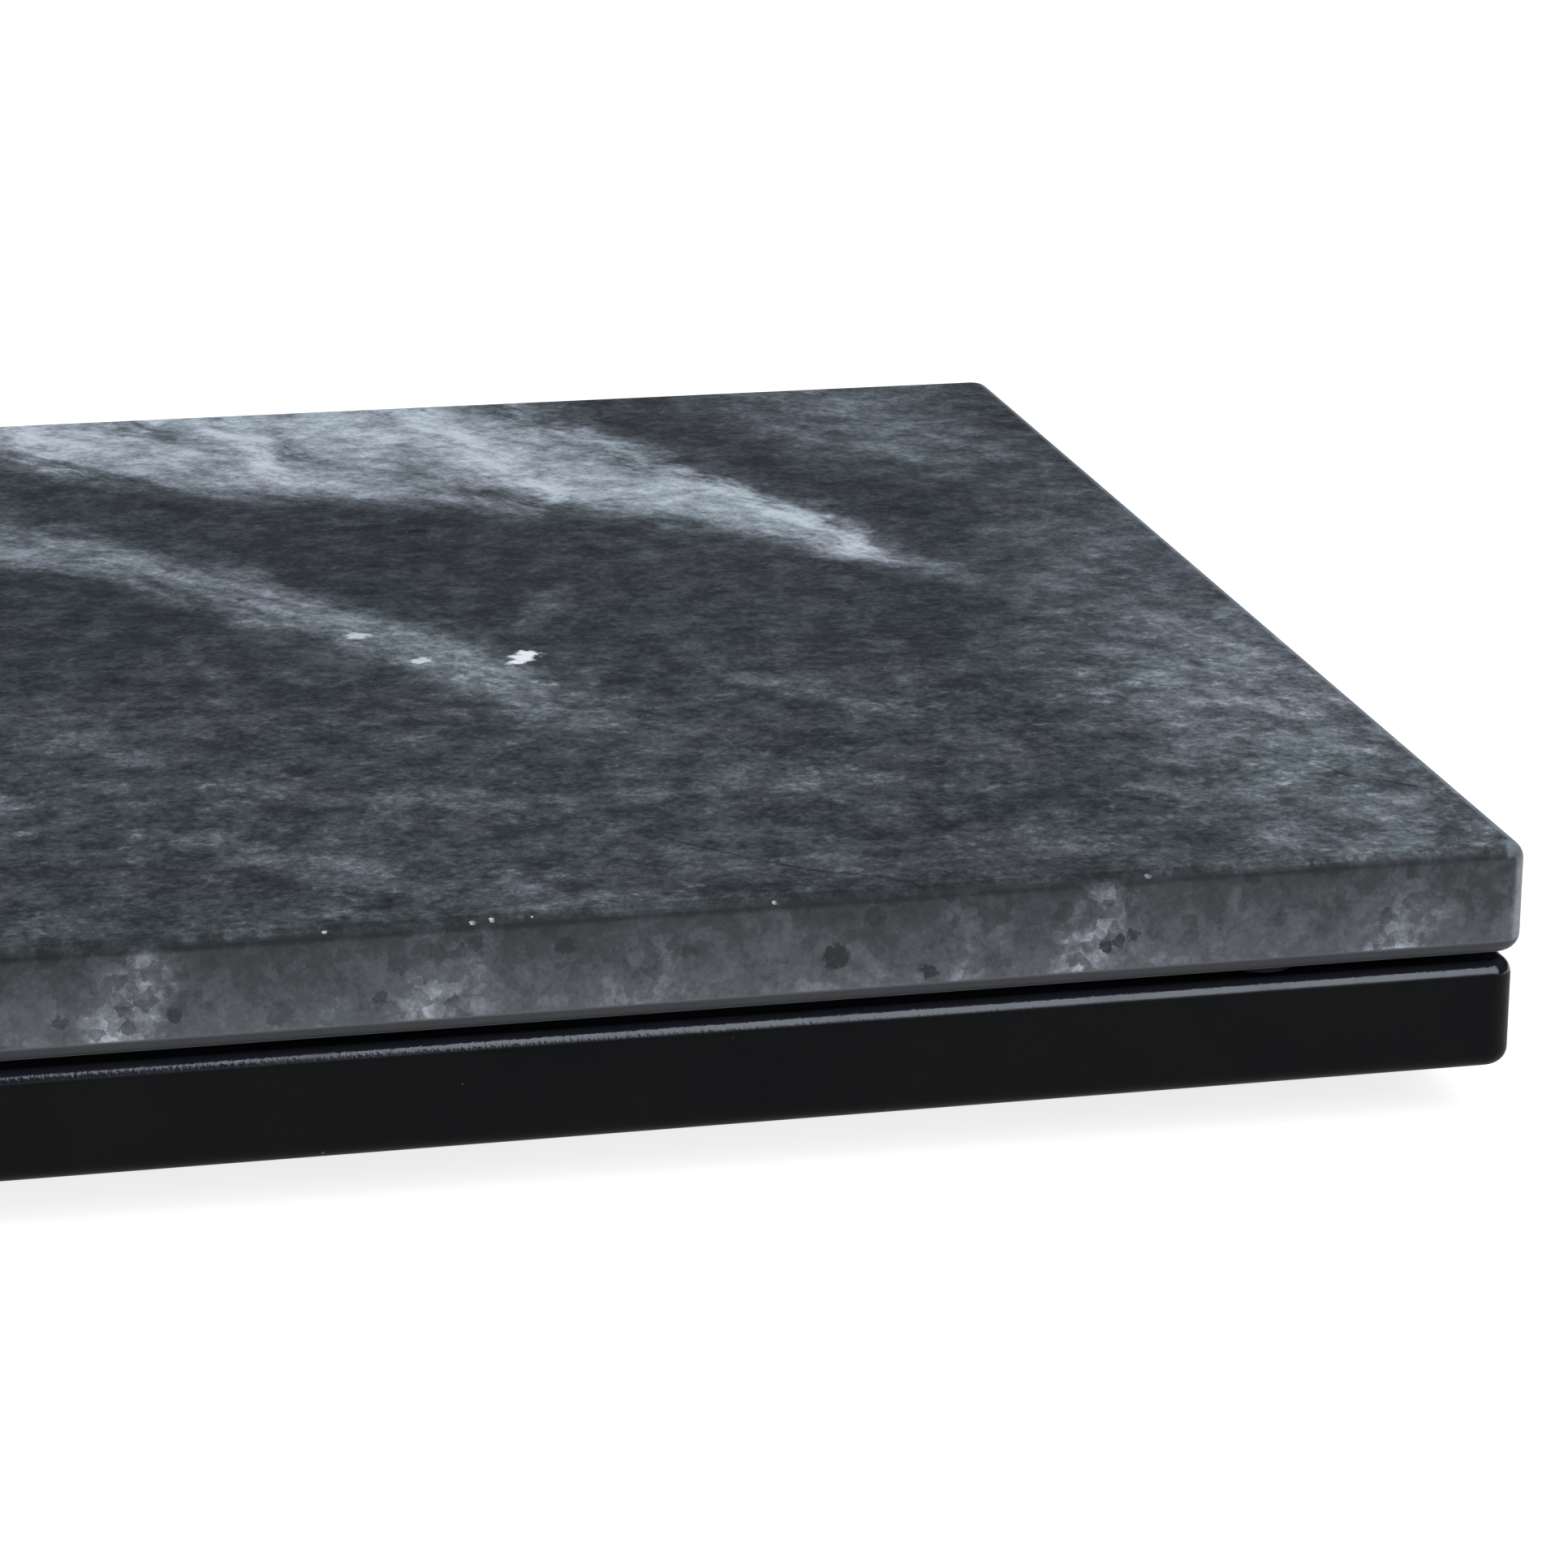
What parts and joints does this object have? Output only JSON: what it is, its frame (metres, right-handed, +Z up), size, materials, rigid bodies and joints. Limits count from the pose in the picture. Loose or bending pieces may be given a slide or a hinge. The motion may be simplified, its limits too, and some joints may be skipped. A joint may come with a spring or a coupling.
{
  "type": "stone tooling slab",
  "caption": "Dark veined stone slab with eased edges, resting on rubber pads on a low black welded square-tube base with screw-in levelling feet.",
  "frame": {"origin": "on the floor under the middle of the slab", "axes": "+X along the slab's long side, -Y towards the front, +Z up"},
  "size_m": [0.6, 0.4, 0.052],
  "materials": {
    "stone": "polished dark grey stone with pale cloudy veins",
    "powder_coat": "satin black powder coat with a fine texture",
    "pad_rubber": "matt black rubber",
    "zinc_steel": "bright zinc plate",
    "foot_plastic": "moulded black nylon"
  },
  "bodies": {
    "frame": {"front_rail": "powder_coat", "right_rail": "powder_coat", "back_rail": "powder_coat", "left_rail": "powder_coat", "left_cross_rail": "powder_coat", "right_cross_rail": "powder_coat", "gusset_front_left": "powder_coat", "gusset_front_right": "powder_coat", "gusset_back_right": "powder_coat", "gusset_back_left": "powder_coat", "weld_nut_front_left": "powder_coat", "weld_nut_front_right": "powder_coat", "weld_nut_back_right": "powder_coat", "weld_nut_back_left": "powder_coat", "slab_pad_front_left": "pad_rubber", "slab_pad_front_middle": "pad_rubber", "slab_pad_front_right": "pad_rubber", "slab_pad_back_left": "pad_rubber", "slab_pad_back_middle": "pad_rubber", "slab_pad_back_right": "pad_rubber", "slab_pad_left_cross": "pad_rubber", "slab_pad_right_cross": "pad_rubber", "jam_nut_front_left": "zinc_steel", "jam_nut_front_right": "zinc_steel", "jam_nut_back_right": "zinc_steel", "jam_nut_back_left": "zinc_steel"},
    "slab": {"stone_slab": "stone"},
    "foot_front_left": {"foot_base_front_left": "foot_plastic", "foot_pad_front_left": "pad_rubber"},
    "stud_front_left": {"foot_stud_front_left": "zinc_steel"},
    "foot_front_right": {"foot_base_front_right": "foot_plastic", "foot_pad_front_right": "pad_rubber"},
    "stud_front_right": {"foot_stud_front_right": "zinc_steel"},
    "foot_back_right": {"foot_base_back_right": "foot_plastic", "foot_pad_back_right": "pad_rubber"},
    "stud_back_right": {"foot_stud_back_right": "zinc_steel"},
    "foot_back_left": {"foot_base_back_left": "foot_plastic", "foot_pad_back_left": "pad_rubber"},
    "stud_back_left": {"foot_stud_back_left": "zinc_steel"}
  },
  "joints": [
    {"name": "slab_lift", "type": "slide", "parent": "frame", "child": "slab", "axis": [0, 0, 1], "range_m": [0, 0.06]},
    {"name": "foot_drop_front_left", "type": "slide", "parent": "frame", "child": "foot_front_left", "axis": [0, 0, -1], "range_m": [0, 0.00625]},
    {"name": "stud_turn_front_left", "type": "hinge", "parent": "foot_front_left", "child": "stud_front_left", "pos_m": [-0.2555, -0.154, 0.02], "axis": [0, 0, -1], "range_deg": [0, 1800]},
    {"name": "foot_drop_front_right", "type": "slide", "parent": "frame", "child": "foot_front_right", "axis": [0, 0, -1], "range_m": [0, 0.00625]},
    {"name": "stud_turn_front_right", "type": "hinge", "parent": "foot_front_right", "child": "stud_front_right", "pos_m": [0.2555, -0.154, 0.02], "axis": [0, 0, -1], "range_deg": [0, 1800]},
    {"name": "foot_drop_back_right", "type": "slide", "parent": "frame", "child": "foot_back_right", "axis": [0, 0, -1], "range_m": [0, 0.00625]},
    {"name": "stud_turn_back_right", "type": "hinge", "parent": "foot_back_right", "child": "stud_back_right", "pos_m": [0.2555, 0.154, 0.02], "axis": [0, 0, -1], "range_deg": [0, 1800]},
    {"name": "foot_drop_back_left", "type": "slide", "parent": "frame", "child": "foot_back_left", "axis": [0, 0, -1], "range_m": [0, 0.00625]},
    {"name": "stud_turn_back_left", "type": "hinge", "parent": "foot_back_left", "child": "stud_back_left", "pos_m": [-0.2555, 0.154, 0.02], "axis": [0, 0, -1], "range_deg": [0, 1800]}
  ],
  "couplings": [
    {"joint": "foot_drop_front_left", "follows": "stud_turn_front_left", "m_per_rad": 0.00019894},
    {"joint": "foot_drop_front_right", "follows": "stud_turn_front_right", "m_per_rad": 0.00019894},
    {"joint": "foot_drop_back_right", "follows": "stud_turn_back_right", "m_per_rad": 0.00019894},
    {"joint": "foot_drop_back_left", "follows": "stud_turn_back_left", "m_per_rad": 0.00019894}
  ]
}
